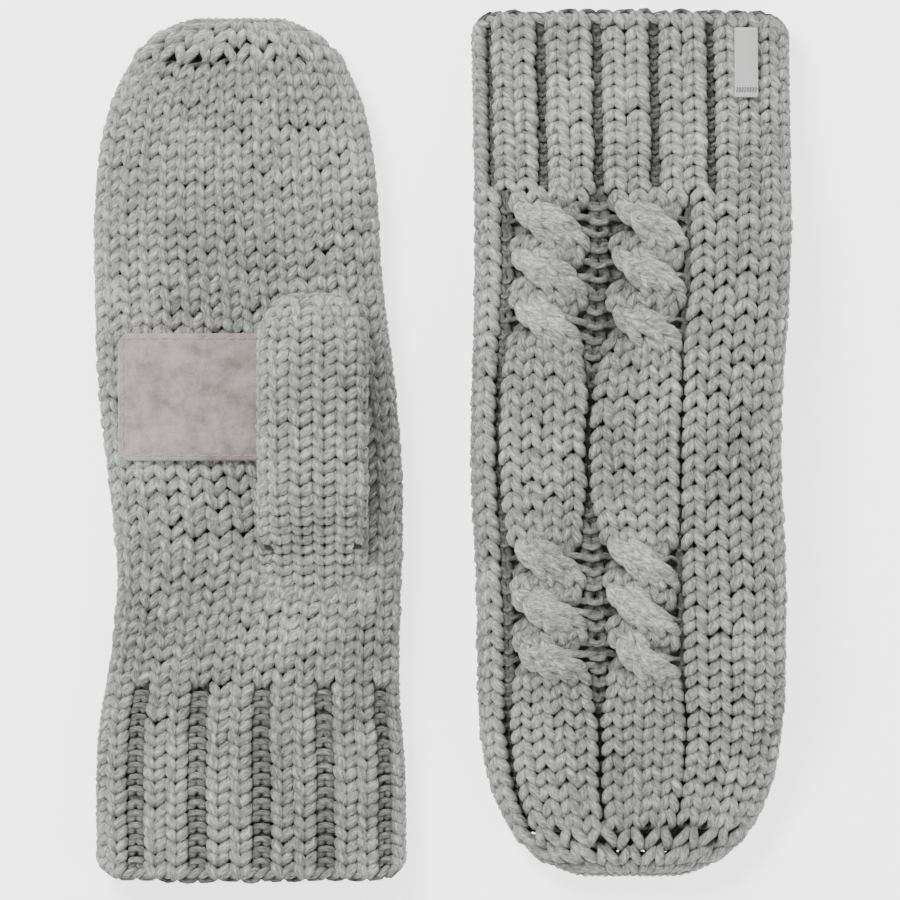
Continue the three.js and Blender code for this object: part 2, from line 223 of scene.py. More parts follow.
class Surface:
    """A grid of points that maps (share across, distance along) to a point and its normal."""

    def __init__(self, ys, grid, outward):
        self.ys = np.asarray(ys, float)
        self.along = distances(grid[:, grid.shape[1] // 2]) + self.ys[0]
        self.grid = grid
        self.normal = unit(np.cross(np.gradient(grid, axis=1), np.gradient(grid, axis=0)) * outward)
        self.widths = np.linalg.norm(np.diff(grid, axis=1), axis=2).sum(axis=1)

    def along_at(self, y):
        """The distance along the surface where its middle line passes y."""
        return float(np.interp(y, self.ys, self.along))

    def width(self, s):
        return np.interp(s, self.along, self.widths)

    def at(self, q, s):
        """Points and normals at shares q across and distances s along."""
        rows, columns = self.grid.shape[:2]
        i = np.clip(np.interp(s, self.along, np.arange(rows)), 0, rows - 1.001)
        j = np.clip(np.asarray(q, float), 0, 1) * (columns - 1.001)
        i0, j0 = i.astype(int), j.astype(int)
        fi, fj = (i - i0)[..., None], (j - j0)[..., None]

        def pick(grid):
            return (
                grid[i0, j0] * (1 - fi) * (1 - fj)
                + grid[i0 + 1, j0] * fi * (1 - fj)
                + grid[i0, j0 + 1] * (1 - fi) * fj
                + grid[i0 + 1, j0 + 1] * fi * fj
            )

        return pick(self.grid), unit(pick(self.normal))


def resample(points, count):
    """The same line with points at equal distances."""
    length = distances(points)
    wanted = np.linspace(0, length[-1], count)
    return np.stack([np.interp(wanted, length, points[:, k]) for k in range(3)], axis=1)


def half_section(side, centre, half_width, half_height, middle):
    """Half a cross-section, from the left edge to the right edge, over the palm (1) or the back (-1)."""
    angle = np.linspace(math.pi, 0, 161)
    power = 2 / SQUARENESS
    x = np.sign(np.cos(angle)) * np.abs(np.cos(angle)) ** power
    z = np.minimum(np.abs(np.sin(angle)) ** power * FLATTENING, 1)
    return np.stack([centre + half_width * x, np.zeros_like(x), middle + side * half_height * z], axis=1)


def stations(start, tip_start, end, squareness, tip_share, spacing, count):
    """Stations (y, share of the width) along a shape that closes to a rounded tip."""
    places = [(y, 1.0) for y in np.arange(start, tip_start, spacing)]
    power = 2 / squareness
    last = math.acos(tip_share ** (1 / power))
    for angle in np.linspace(0, last, count):
        along = (math.sin(angle) / math.sin(last)) ** power
        places.append((tip_start + (end - tip_start) * along, math.cos(angle) ** power))
    return places


def plan(mitten, inset=0.0):
    """The body's stations, from the mouth to the gathered fingertips."""
    return stations(-4, mitten.tip_start, mitten.length - inset, PLAN_SQUARENESS, TIP_SHARE, 3.0, 34)


def body_surface(mitten, side):
    """The palm's or the back's outer surface, from the mouth to the closed fingertips."""
    rows = []
    places = plan(mitten)
    for y, share in places:
        half = float(mitten.half_width(y)) * share
        closing = np.clip((y - (mitten.length - TIP_CLOSING)) / TIP_CLOSING, 0, 1)
        height = BODY_HEIGHT / 2 * math.sqrt(1 - 0.985 * closing**2)
        line = half_section(side, float(mitten.centre(y)), half, height, float(mitten.middle(y)))
        line[:, 1] = y
        rows.append(resample(line, 129))
    grid = np.array(rows)
    # The fabric lies a little unevenly.
    x, y = grid[..., 0], grid[..., 1]
    wave = 2 - np.sin(x * 0.071 + y * 0.033 + side) - np.sin(y * 0.052 - x * 0.024 + 2 * mitten.up)
    grid[..., 2] -= side * 0.3 * wave * np.clip(y / 40, 0, 1) * np.clip((mitten.length - y) / 20, 0, 1)
    return Surface([y for y, share in places], grid, side)


def top_of(mitten, x, y, side=1):
    """The height of the palm's (1) or the back's (-1) smooth surface at a point in plan."""
    share = np.clip(np.abs((x - mitten.centre(y)) / mitten.half_width(y)), 0, 1)
    rise = np.minimum(FLATTENING * (1 - share**SQUARENESS) ** (1 / SQUARENESS), 1)
    return mitten.middle(y) + side * BODY_HEIGHT / 2 * rise


def thumb_surface(mitten, side):
    """The thumb's upper (1) or lower (-1) half, which rises out of the palm and lies along it."""
    tip = THUMB_PIVOT[1] + THUMB_REACH
    places = stations(THUMB_FOOT, tip - THUMB_HALF_WIDTH, tip, THUMB_SQUARENESS, THUMB_TIP_SHARE, 2.5, 24)
    rows = []
    for y, share in places:
        palm = float(mitten.middle(y)) + BODY_HEIGHT / 2
        risen = float(smoothstep(y, THUMB_FOOT, THUMB_CLEAR))
        closing = np.clip((y - tip + THUMB_CLOSING) / THUMB_CLOSING, 0, 1)
        height = THUMB_HEIGHT / 2 * math.sqrt(1 - 0.97 * closing**2)
        line = half_section(side, THUMB_PIVOT[0], THUMB_HALF_WIDTH * share, height, 0)
        across = (line[:, 0] - THUMB_PIVOT[0]) / THUMB_HALF_WIDTH
        # At its foot it lies just under the palm's face, and deeper at its edges.
        foot = top_of(mitten, line[:, 0], y) - 0.5 - 4 * across**4
        free = palm + THUMB_RISE + THUMB_HEIGHT / 2 + line[:, 2]
        line[:, 1] = y
        line[:, 2] = foot * (1 - risen) + free * risen
        rows.append(resample(line, 65))
    return Surface([y for y, share in places], np.array(rows), side)


# ------------ meshes


def mesh_object(name, vertices, faces, material, uv=None):
    """A smooth-shaded mesh from arrays of points and faces, all with as many corners."""
    mesh = bpy.data.meshes.new(name)
    vertices = np.asarray(vertices, np.float32)
    faces = np.asarray(faces, np.int32)
    size = faces.shape[1]
    mesh.vertices.add(len(vertices))
    mesh.vertices.foreach_set("co", vertices.ravel())
    mesh.loops.add(faces.size)
    mesh.loops.foreach_set("vertex_index", faces.ravel())
    mesh.polygons.add(len(faces))
    mesh.polygons.foreach_set("loop_start", np.arange(0, faces.size, size, dtype=np.int32))
    mesh.update(calc_edges=True)
    if uv is not None:
        layer = mesh.uv_layers.new(name="yarn")
        layer.data.foreach_set("uv", np.asarray(uv, np.float32).ravel())
    mesh.polygons.foreach_set("use_smooth", np.full(len(faces), True))
    mesh.validate()
    mesh.materials.append(material)
    made = bpy.data.objects.new(name, mesh)
    bpy.context.scene.collection.objects.link(made)
    return made


def finish(made, mitten, where, *nodes, blend=None):
    """Puts a piece on its body, or with a blend leaves it in place without a body, and hides the CAD nodes it
    stands for.
    """
    if blend:
        start, end = [tuple(mitten.place([point])[0]) for point in blend]
        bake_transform(made)
        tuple(start)
        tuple(end)
    else:
        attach(made, f"{mitten.prefix}_{where}")
    if nodes:
        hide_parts(*[f"{mitten.prefix}_{name}" for name in nodes])
    return made


class Yarns:
    """Collects yarns, each a line of points with a radius, and makes them one mesh of tubes."""

    def __init__(self, mitten, sides=YARN_SIDES):
        self.mitten = mitten
        self.sides = sides
        self.vertices = []
        self.faces = []
        self.uvs = []
        self.heights = []
        self.open_ends = 1  # how many points at each end get the painted shade of open yarn all round
        self.count = 0

    def add(self, points, normals, radius, height=0.0):
        """One yarn. The height of its middle line is over the fabric's middle, and sets the painted shade in
        the yarn's colour.
        """
        points = np.asarray(points, float)
        n, k = len(points), self.sides
        radius = np.array(np.broadcast_to(np.asarray(radius, float), (n,)))
        if n > STITCH_POINTS:  # a long yarn's ends are rounded off
            radius[[0, -1]] *= 0.3
            radius[[1, -2]] *= 0.75
        tangent = unit(np.gradient(points, axis=0))
        across = unit(np.cross(tangent, normals))
        up = np.cross(across, tangent)
        angle = np.arange(k) / k * TAU
        turn = np.cos(angle)[None, :, None] * across[:, None] + np.sin(angle)[None, :, None] * up[:, None]
        ring = points[:, None] + radius[:, None, None] * turn
        first = self.count
        height = np.array(np.broadcast_to(np.asarray(height, float), (n,)))
        # A yarn's ends lie in the open, so they get no painted fold shade.
        for end in (slice(0, 3), slice(-3, None)):
            height[end] = np.maximum(height[end], OPEN_HEIGHT)
        heights = height[:, None] + radius[:, None] * np.sin(angle)[None, :]
        for end in (slice(0, self.open_ends), slice(-self.open_ends, None)):
            heights[end] = np.maximum(heights[end], OPEN_HEIGHT)
        self.heights.append(heights.ravel())
        self.heights.append(height[[0, -1]])
        # Each end closes on a point of its own.
        self.vertices.append(ring.reshape(-1, 3))
        self.vertices.append(points[[0, -1]] + tangent[[0, -1]] * radius[[0, -1], None] * [[-0.6], [0.6]])
        i, j = np.meshgrid(np.arange(n - 1), np.arange(k), indexing="ij")
        a = first + i * k + j
        b = first + i * k + (j + 1) % k
        quads = np.stack([a, b, b + k, a + k], axis=-1).reshape(-1, 4)
        # Each yarn starts somewhere else in the pattern of its fibres.
        length = distances(points) + rng.uniform(0, 400)
        u0, u1 = length[:-1][i], length[1:][i]
        v0, v1 = j / k, (j + 1) / k
        corners = ((u0, v0), (u0, v1), (u1, v1), (u1, v0))
        uv = np.stack([np.stack(corner, -1) for corner in corners], axis=2)
        self.faces.append(quads)
        self.uvs.append(uv.reshape(-1, 2))
        tip, tail = first + n * k, first + n * k + 1
        j = np.arange(0, k, 2)
        last = first + (n - 1) * k
        caps = [
            np.stack([np.full_like(j, tip), first + (j + 2) % k, first + (j + 1) % k, first + j], -1),
            np.stack([np.full_like(j, tail), last + j, last + (j + 1) % k, last + (j + 2) % k], -1),
        ]
        for cap, u in zip(caps, (length[0], length[-1])):
            self.faces.append(cap)
            self.uvs.append(np.tile([[u, 0.5]], (cap.size, 1)))
        self.count += n * k + 2

    def make(self, name, material, where, *nodes, blend=None):
        """The piece, on its body, or with a blend left in place without a body."""
        vertices = self.mitten.place(np.concatenate(self.vertices))
        faces = np.concatenate(self.faces)
        uv = np.concatenate(self.uvs).reshape(len(faces), 4, 2)
        if self.mitten.up < 0:
            faces = faces[:, ::-1]
            uv = uv[:, ::-1]
        uv = uv.reshape(-1, 2) * [0.1, 1.0]  # centimetres along the yarn, and turns round it
        made = mesh_object(f"{self.mitten.prefix}_{name}", vertices, faces, material, uv)
        # These heights drive the painted shade in the yarn material: the deeper a part of the yarn, the
        # darker its colour.
        height = made.data.attributes.new("height", "FLOAT", "POINT")
        height.data.foreach_set("value", np.concatenate(self.heights).astype(np.float32))
        return finish(made, self.mitten, where, *nodes, blend=blend)


# ------------ knitting


class Columns:
    """The stitch columns across a panel, left to right, with their widths in millimetres.

    Where cables cross, they pull the columns in to a second set of widths."""

    def __init__(self, kinds, widths, pulled=None, cables=(), recess=2.2, pulled_recess=0.9):
        self.kinds = np.array([1.0 if kind == "k" else -1.0 for kind in kinds])
        self.cables = cables
        self.layouts = []
        for layout in (widths, pulled or widths):
            edges = np.concatenate([[0], np.cumsum(layout)]) / np.sum(layout)
            self.layouts.append((np.diff(edges), (edges[1:] + edges[:-1]) / 2))
        self.recess = (recess, pulled_recess)

    def __len__(self):
        return len(self.kinds)

    def pull(self, row):
        """How far the cables pull the fabric in at a row, from 0 to 1."""
        amount = np.zeros_like(row, dtype=float)
        for first, last in {span for cable in self.cables for span in cable.spans}:
            amount += smoothstep(row, first - 3, first) - smoothstep(row, last, last + 3.5)
        return np.clip(amount, 0, 1)

    def mix(self, row, relaxed, pulled):
        return relaxed + (pulled - relaxed) * self.pull(row)

    def width(self, column, row):
        return self.mix(row, self.layouts[0][0][column], self.layouts[1][0][column])

    def centre(self, column, row):
        return self.mix(row, self.layouts[0][1][column], self.layouts[1][1][column])

    def height(self, column, row):
        if self.kinds[column] > 0:
            return np.zeros_like(row, dtype=float)
        return -self.mix(row, *self.recess)


class Cable:
    """Four columns that cross two over two at certain rows."""

    def __init__(self, first, crossings, raised, half_length=1.7, sunk=2.4):
        self.first = first
        self.crossings = crossings
        self.half_length = half_length
        self.raised = raised
        self.sunk = sunk
        # The crossings come in two groups of three.
        groups = (crossings[:3], crossings[3:])
        self.spans = [(group[0] - half_length, group[-1] + half_length) for group in groups]

    def crossing(self, row):
        """From 0 on plain rows to 1 in the middle of a crossing."""
        return max(0.0, 1 - min(abs(row - middle) for middle in self.crossings) / self.half_length)

    def strand(self, slot, row, columns):
        """A strand's share across and its height at a row."""
        width = columns.width(self.first, row)
        share = columns.centre(self.first, row) + slot * width
        height = np.zeros_like(row)
        for middle in self.crossings:
            progress = smoothstep(row, middle - self.half_length, middle + self.half_length)
            hump = np.sin(np.pi * progress)
            if slot >= 2:
                share, height = share - 2 * width * progress, height + self.raised * hump
            else:
                share, height = share + 2 * width * progress, height - self.sunk * hump
            slot = (slot + 2) % 4
        return share, height


def loop():
    """One stitch's loop in units of a column and a row: sideways, along and depth."""
    t = np.linspace(-math.pi, math.pi, LOOP_STEPS + 1)
    return t, (t + LOOP_BULGE * np.sin(2 * t)) / TAU, LOOP_REACH * np.cos(t), -np.cos(2 * t)


def knit_row(yarns, surface, columns, row, start, pitch, warp=None, lower=0.0):
    """One row of stitches, from the panel's left edge to its right edge, as one yarn."""
    t, sideways, along, depth = loop()
    count = len(columns)
    inner = smoothstep(np.abs(t) / math.pi, 0.66, 1.0) / 2
    strands = []
    for c in range(count):
        cable = next((k for k in columns.cables if k.first <= c < k.first + 4), None)
        stretched = cable.crossing(row) if cable is not None else 0
        r = row + along * (1 + 0.35 * stretched + rng.normal(0, 0.05)) + rng.normal(0, 0.07)
        if cable is not None:
            share, height = cable.strand(c - cable.first, r, columns)
        else:
            share, height = columns.centre(c, r), np.zeros_like(t)
        share = share + rng.normal(0, 0.0012)
        sunk = columns.height(c, r)
        strands.append((share, height + sunk, columns.kinds[c], columns.width(c, r), r, sunk, stretched))
    strands.sort(key=lambda strand: strand[0][len(t) // 2])
    lines = []
    for c, (share, height, kind, width, r, sunk, stretched) in enumerate(strands):
        share, height = share.copy(), height.copy()
        sign = np.full_like(t, kind)
        for side, other in ((-1, c - 1), (1, c + 1)):
            if not 0 <= other < count:
                continue
            # Half way to the next column, two neighbours meet.
            blend = np.where(np.sign(t) == side, inner, 0)
            mine, theirs = (0, -1) if side < 0 else (-1, 0)
            next_share, next_height, next_kind, next_width = strands[other][:4]
            gap = next_share[theirs] - side * next_width[theirs] / 2 - share[mine] - side * width[mine] / 2
            share += blend * gap
            height += blend * (next_height[theirs] - height[mine])
            sign += blend * (next_kind - kind)
        wobble = rng.normal(0, 0.05, 3)
        s = start + pitch * r
        across = surface.width(s)
        local = across * width
        step = np.gradient(s)
        slope = np.where(np.abs(step) < 0.15, 0, np.gradient(share) * across / np.where(step == 0, 1, step))
        lean = np.arctan(np.clip(slope, -1.6, 1.6)) * 0.7
        lean = np.convolve(np.pad(lean, 2, mode="edge"), np.ones(5) / 5, mode="valid")
        dx = sideways * local * (1 + wobble[0])
        q = share + dx * np.cos(lean) / across
        s = s - dx * np.sin(lean)
        scale = np.clip(local / (STITCH * 0.9), 0.35, 1.12)
        lift = (depth * sign * LOOP_DEPTH + wobble[1] * 3) * scale + height
        pinch = (1 - LOOP_PINCH * (1 - 0.5 * stretched) * ((1 - depth) / 2) ** 0.8) * (1 + 0.08 * stretched)
        thick = YARN_RADIUS * (1 + wobble[2]) * np.minimum(scale**0.6, 1)
        thick = thick * (1 + 0.035 * np.abs(height)) * pinch
        # The last entry is the height for the painted shade; a sunk purl column gets less of it.
        lines.append((q, s, lift, thick, lift - PURL_LIGHT * sunk))
    # Each column's last point is the next one's first.
    joined = [np.concatenate([line[k][:-1] for line in lines] + [lines[-1][k][-1:]]) for k in range(5)]
    q, s, lift, thick, shade_height = joined
    if warp is not None:
        q, s = warp(q, s)
    points, normals = surface.at(q, s)
    yarns.add(points + normals * (lift - KNIT_DEPTH - lower)[:, None], normals, thick, height=shade_height)


# ------------ materials


def new_material(name):
    material = bpy.data.materials.new(name)
    material.use_nodes = True
    tree = material.node_tree
    shader = tree.nodes["Principled BSDF"]
    return material, tree, shader


def node(tree, kind, inputs=None, **settings):
    made = tree.nodes.new(kind)
    for key, value in settings.items():
        setattr(made, key, value)
    for key, value in (inputs or {}).items():
        if isinstance(value, bpy.types.NodeSocket):
            tree.links.new(value, made.inputs[key])
        else:
            made.inputs[key].default_value = value
    return made


def maths(tree, operation, *values):
    """What a Math node makes of numbers and sockets."""
    return node(tree, "ShaderNodeMath", dict(enumerate(values)), operation=operation).outputs[0]


def noise(tree, place, scale, detail, roughness):
    settings = {"Vector": place, "Scale": scale, "Detail": detail, "Roughness": roughness}
    return node(tree, "ShaderNodeTexNoise", settings).outputs["Fac"]


def product(tree, first, second):
    return node(tree, "ShaderNodeVectorMath", {0: first, 1: second}, operation="MULTIPLY").outputs[0]


def add_bump(tree, shader, strength, distance, height):
    made = node(tree, "ShaderNodeBump", {"Strength": strength, "Distance": distance, "Height": height})
    tree.links.new(made.outputs["Normal"], shader.inputs["Normal"])


def set_inputs(shader, values):
    for key, value in values.items():
        shader.inputs[key].default_value = value


def ramp(tree, factor, stops):
    made = node(tree, "ShaderNodeValToRGB", {"Fac": factor})
    elements = made.color_ramp.elements
    while len(elements) < len(stops):
        elements.new(0.5)
    for element, (position, colour) in zip(elements, stops):
        element.position = position
        element.color = (*colour, 1)
    return made.outputs["Color"]


def grey(value, tint=(1.0, 1.01, 0.975)):
    return tuple(value * share for share in tint)


def yarn_material(name):
    """Heather grey bulky yarn: twisted plies, fibres along them, lighter and darker flecks, and painted shade
    deep between the loops.
    """
    material, tree, shader = new_material(name)
    uv = node(tree, "ShaderNodeUVMap", uv_map="yarn").outputs["UV"]
    split = node(tree, "ShaderNodeSeparateXYZ", {"Vector": uv})
    along, around = split.outputs["X"], split.outputs["Y"]
    turned = maths(tree, "ADD", around, maths(tree, "MULTIPLY", along, 0.55))
    plies = maths(tree, "COSINE", maths(tree, "MULTIPLY", turned, 3 * TAU))
    angle = maths(tree, "MULTIPLY", turned, TAU)
    circle = {"X": maths(tree, "COSINE", angle), "Y": maths(tree, "SINE", angle), "Z": along}
    round_yarn = node(tree, "ShaderNodeCombineXYZ", circle).outputs[0]

    def add(first, second, weight):
        return maths(tree, "MULTIPLY_ADD", second, weight, first)

    fibres = noise(tree, product(tree, round_yarn, (1.0, 1.0, 2.4)), 3.4, 6.0, 0.72)
    flecks = noise(tree, product(tree, round_yarn, (0.5, 0.5, 1.8)), 3.2, 4.0, 0.65)
    patches = noise(tree, node(tree, "ShaderNodeTexCoord").outputs["Object"], 30.0, 3.0, 0.5)
    mixed = add(add(maths(tree, "MULTIPLY", fibres, 0.44), flecks, 0.40), patches, 0.16)
    shares = ((0.37, 0.06), (0.45, 0.18), (0.52, 0.31), (0.60, 0.56))
    colour = ramp(tree, mixed, [(position, grey(value)) for position, value in shares])
    # Painted shade: deep between the loops, where little light reaches, the yarn's colour is darkened by its
    # height.
    deep = node(tree, "ShaderNodeAttribute", attribute_name="height").outputs["Fac"]
    limits = {"From Min": -0.5, "From Max": 2.9, "To Min": 0.08, "To Max": 1.03}
    shade = node(tree, "ShaderNodeMapRange", {"Value": deep, **limits}).outputs[0]
    tree.links.new(product(tree, colour, shade), shader.inputs["Base Color"])
    add_bump(tree, shader, 0.8, 0.0006, add(add(fibres, flecks, 0.5), plies, 0.2))
    set_inputs(shader, {
        "Roughness": 0.92, "Specular IOR Level": 0.2,
        "Sheen Weight": 0.25, "Sheen Roughness": 0.5, "Sheen Tint": (0.8, 0.8, 0.79, 1),
    })
    return material


def fabric_material(name, stops, scales, bump, rough=0.9, sheen=0.3):
    """Cloth from a few sizes of mottling, (scale, weight, detail), with a bumpy surface."""
    material, tree, shader = new_material(name)
    place = node(tree, "ShaderNodeTexCoord").outputs["Object"]
    total = 0.0
    for scale, weight, detail in scales:
        total = maths(tree, "MULTIPLY_ADD", noise(tree, place, scale, detail, 0.65), weight, total)
    tree.links.new(ramp(tree, total, stops), shader.inputs["Base Color"])
    add_bump(tree, shader, *bump, noise(tree, place, scales[-1][0], 6.0, 0.75))
    set_inputs(shader, {
        "Roughness": rough, "Specular IOR Level": 0.25, "Sheen Weight": sheen, "Sheen Roughness": 0.45,
    })
    return material


def satin_material(name):
    """Woven tape: a fine satin weave, cross threads with a soft shine."""
    material, tree, shader = new_material(name)
    place = node(tree, "ShaderNodeTexCoord").outputs["Object"]
    waves = []
    for direction, scale in (("X", 900.0), ("Y", 620.0)):
        settings = {"Vector": place, "Scale": scale, "Distortion": 0.6, "Detail": 1.0}
        waves.append(node(tree, "ShaderNodeTexWave", settings, bands_direction=direction).outputs["Fac"])
    weave = maths(tree, "MULTIPLY", *waves)
    colour = ramp(tree, weave, [(0.0, (0.34, 0.34, 0.335)), (0.7, (0.52, 0.52, 0.515))])
    tree.links.new(colour, shader.inputs["Base Color"])
    add_bump(tree, shader, 0.5, 0.00015, weave)
    set_inputs(shader, {"Roughness": 0.42, "Sheen Weight": 0.2})
    return material


YARN = yarn_material("heather_yarn")
SUEDE = fabric_material(
    "taupe_suede",
    [(0.38, (0.165, 0.138, 0.130)), (0.5, (0.255, 0.216, 0.205)), (0.62, (0.335, 0.291, 0.280))],
    [(60.0, 0.4, 3.0), (240.0, 0.35, 4.0), (1500.0, 0.25, 4.0)], (0.35, 0.0002), sheen=0.5,
)
FLEECE = fabric_material(
    "grey_fleece",
    [(0.4, grey(0.07)), (0.5, grey(0.17)), (0.6, grey(0.34))],
    [(150.0, 0.25, 3.0), (520.0, 0.4, 5.0), (1500.0, 0.35, 4.0)], (1.0, 0.0016), sheen=0.3,
)
THREAD_LOOK = {"scales": [(900.0, 0.6, 2.0), (3000.0, 0.4, 2.0)], "bump": (0.5, 0.0001), "rough": 0.6}
THREAD = fabric_material("grey_thread", [(0.4, grey(0.09)), (0.6, grey(0.19))], **THREAD_LOOK)
TAUPE_THREAD = fabric_material(
    "taupe_thread", [(0.4, (0.22, 0.185, 0.175)), (0.6, (0.33, 0.29, 0.28))], **THREAD_LOOK
)
SATIN = satin_material("woven_satin")


# ------------ knitted pieces

def even_columns(count):
    return Columns("k" * count, [1.0] * count)


def rib_columns(kinds, purl, recess):
    """Two plain columns to each purl column."""
    return Columns(kinds, [purl if kind == "p" else 1.0 for kind in kinds], recess=recess)


def cabled_columns(raised):
    """Plain columns, two cables between purl columns, and a plain edge, from the little finger's side."""
    crossings = [2.3, 5.7, 9.2, 25.2, 28.7, 32.0]
    cables = [Cable(first, crossings, raised) for first in (6, 11)]
    relaxed = [7.4] * 5 + [1.3] + [6.95] * 4 + [2.2] + [7.1] * 4 + [3.0] + [7.0, 4.8]
    pulled = [7.6] * 5 + [1.4] + [6.1] * 4 + [6.4] + [6.3] * 4 + [3.6] + [7.3, 5.0]
    return Columns("kkkkkpkkkkpkkkkpkk", relaxed, pulled, cables)


surfaces = {(m.prefix, side): body_surface(m, side) for m in (RIGHT, LEFT) for side in (1, -1)}


def wrist_bend(mitten):
    """The two ends of the band across the wrist."""
    return [(0, WRIST - WRIST_BAND, BODY_HEIGHT / 2), (0, WRIST + WRIST_BAND, BODY_HEIGHT / 2)]


def thumb_bend(mitten):
    """The two ends of the band at the thumb's root."""
    height = float(mitten.middle(THUMB_PIVOT[1])) + BODY_HEIGHT / 2
    return [(THUMB_PIVOT[0], THUMB_FOOT + 4, height), (THUMB_PIVOT[0], THUMB_PIVOT[1] + 4, height)]


def drift(mitten, side):
    """Soft hand-made unevenness: columns and rows wander a little."""
    phase = {1: 0.4, -1: 2.1}[side] + mitten.up

    def warp(q, s):
        inside = np.sin(np.pi * np.clip(q, 0, 1))
        q2 = q + inside * 0.006 * (np.sin(s * 0.045 + phase) + np.sin(s * 0.021 + q * 5 + 2 * phase))
        fade = np.clip((s - WRIST) / 15, 0, 1)
        if side > 0:
            # The columns lean in towards the thumb's root.
            q2 = q2 + 0.05 * inside * np.exp(-(((s - 104) / 24) ** 2)) * np.exp(-(((q - 0.42) / 0.2) ** 2))
        s2 = s + fade * (0.9 * np.sin(q * 7 + s * 0.03 + phase) + 0.6 * np.sin(q * 13 - s * 0.05))
        return q2, s2

    return warp


def cuff_warp(q, s):
    """The mouth rounds off towards its corners."""
    corner = np.clip((np.abs(q - 0.5) - 0.36) / 0.14, 0, 1)
    return q, s + 8.0 * (1 - np.sqrt(1 - 0.96 * corner**2)) * np.clip(1 - s / WRIST, 0, 1)


def even_rows(length, pitch):
    """How many rows fill a length, and how high each then is."""
    rows = int(round(length / pitch))
    return rows, length / rows


def body_knit(mitten):
    """The knit of the palm, the back and the cuff, with a band across the wrist as a piece of its own."""
    parts = {name: Yarns(mitten) for name in ("palm", "back", "wrist", "cuff")}
    for side, which, columns in ((1, "palm", even_columns(16)), (-1, "back", cabled_columns(mitten.raised))):
        surface = surfaces[mitten.prefix, side]
        wrist = surface.along_at(mitten.rib_end)
        bend = [surface.along_at(WRIST + end * WRIST_BAND) for end in (-1, 1)]
        rib = rib_columns(mitten.rib[side], mitten.purl, mitten.recess)
        rows, step = even_rows(wrist - RIB_START, mitten.pitches["cuff"])
        for row in range(rows):
            part = "wrist" if RIB_START + (row + 0.5) * step > bend[0] else "cuff"
            knit_row(parts[part], surface, rib, row + 0.5, RIB_START, step, cuff_warp, lower=RIB_LOWER)
        rows, step = even_rows(surface.along[-1] - wrist, mitten.pitches[which])
        for row in range(rows):
            part = "wrist" if wrist + row * step < bend[1] else which
            if rows - row > GATHERED_ROWS + 1:
                knit_row(parts[part], surface, columns, row + 0.5, wrist, step, drift(mitten, side))
        # The last stitches are drawn together in pairs, longer and with holes between them.
        long_step = step * (GATHERED_ROWS + 1) / GATHERED_ROWS
        start = surface.along[-1] - GATHERED_ROWS * long_step
        for row in range(GATHERED_ROWS):
            knit_row(parts[which], surface, even_columns(9), row + 0.5, start, long_step)
    for which in ("palm", "back"):
        parts[which].make(f"{which}_knit", YARN, "hand", f"{which}_shell")
    parts["cuff"].make("cuff_knit", YARN, "cuff", "cuff_rib")
    parts["wrist"].make("wrist_knit", YARN, ("cuff", "hand"), blend=wrist_bend(mitten))


def thumb_knit(mitten):
    """The knit of the thumb, without the rows of its underside that the palm would hide."""
    yarns = Yarns(mitten)
    # Painted shade: eight points at each row's end get the open yarn's lighter painted shade all round.
    yarns.open_ends = 8
    for side in (1, -1):
        surface = thumb_surface(mitten, side)
        foot = surface.along[0]
        rows, step = even_rows(surface.along[-1] - foot, THUMB_PITCH)
        hidden = 0 if side > 0 else int((surface.along_at(THUMB_PIVOT[1] - THUMB_COVER) - foot) / step)
        for row in range(hidden, rows):
            knit_row(yarns, surface, even_columns(4 if rows - row <= 2 else 6), row + 0.5, foot, step)
    yarns.make("thumb_knit", YARN, ("hand", "thumb"), "thumb_shell", blend=thumb_bend(mitten))


# ------------ seams

def outline(mitten, inset, y_from):
    """The body's edge in plan, up the left, across the fingertips and down the right."""
    left, right = [], []
    for y, share in plan(mitten, inset):
        if y < y_from:
            continue
        half = (float(mitten.half_width(y)) - inset) * share
        left.append((float(mitten.centre(y)) - half, y, float(mitten.middle(y))))
        right.append((float(mitten.centre(y)) + half, y, float(mitten.middle(y))))
    path = np.array(left + right[::-1])
    return resample(path, int(distances(path)[-1] / SEAM_STEP))


def side_seam(mitten):
    """The yarn that joins the palm to the back, in slanted stitches."""
    path = outline(mitten, SEAM_RADIUS + 0.6, 3)
    tangent = np.gradient(path, axis=0)
    outward = unit(np.stack([-tangent[:, 1], tangent[:, 0], np.zeros(len(path))], axis=1))
    phase = np.arange(len(path)) * SEAM_STEP / SEAM_STITCH * TAU
    path[:, 2] += 1.5 * np.sin(phase)
    path += outward * 0.35 * np.cos(2 * phase)[:, None]
    yarns = Yarns(mitten)
    # Painted shade: the seam yarn's colour is shaded for a height of 1.2 over the fabric's middle.
    yarns.add(path, outward, SEAM_RADIUS * (1 + 0.05 * np.sin(phase * 0.37)), height=1.2)
    yarns.make("side_seam_yarn", YARN, ("cuff", "hand"), "side_seam", blend=wrist_bend(mitten))


def mouth_ring(mitten, depth, y):
    """Points and outward normals round the mouth, at a depth in from the knit's face."""
    q = np.linspace(0, 1, 181)
    points, normals = [], []
    for side, order in ((1, q), (-1, q[::-1])):
        along = cuff_warp(order, np.full_like(order, y))[1]
        at, normal = surfaces[mitten.prefix, side].at(order, along)
        points.append((at - normal * depth)[:-1])
        normals.append(normal[:-1])
    return np.concatenate(points), np.concatenate(normals)


